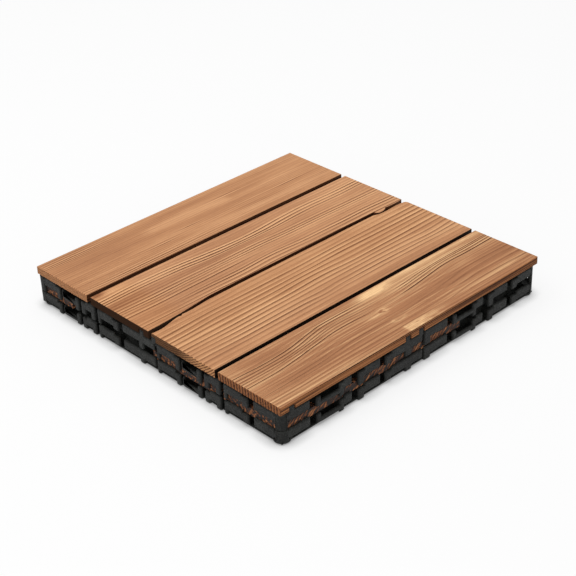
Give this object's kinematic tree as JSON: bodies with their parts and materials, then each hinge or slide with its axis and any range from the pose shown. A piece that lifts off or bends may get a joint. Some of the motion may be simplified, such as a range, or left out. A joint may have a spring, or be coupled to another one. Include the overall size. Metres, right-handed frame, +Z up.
{
  "type": "interlocking deck tile",
  "caption": "Square outdoor floor tile: wood slats screwed to a black base of stacked mouldings, with loops on two sides for the hooked tongues of the next tile.",
  "frame": {"origin": "on the floor, under the middle of the tile", "axes": "+Z up; Y along the slats; X across them; the front (-Y) and right (+X) sides have the loops, the back and left sides the tongues"},
  "size_m": [0.305, 0.305, 0.036],
  "materials": {
    "slat_wood": "oiled, matt",
    "packing_wood": "raw, rough",
    "base_plastic": "matt",
    "screw_steel": "zinc plated"
  },
  "bodies": {
    "root": {"slat_1": "slat_wood", "slat_2": "slat_wood", "slat_3": "slat_wood", "slat_4": "slat_wood", "upper_grid": "base_plastic", "lower_grid": "base_plastic", "packing_board_left": "packing_wood", "packing_board_middle": "packing_wood", "packing_board_right": "packing_wood", "slat_screws": "screw_steel"}
  },
  "joints": []
}
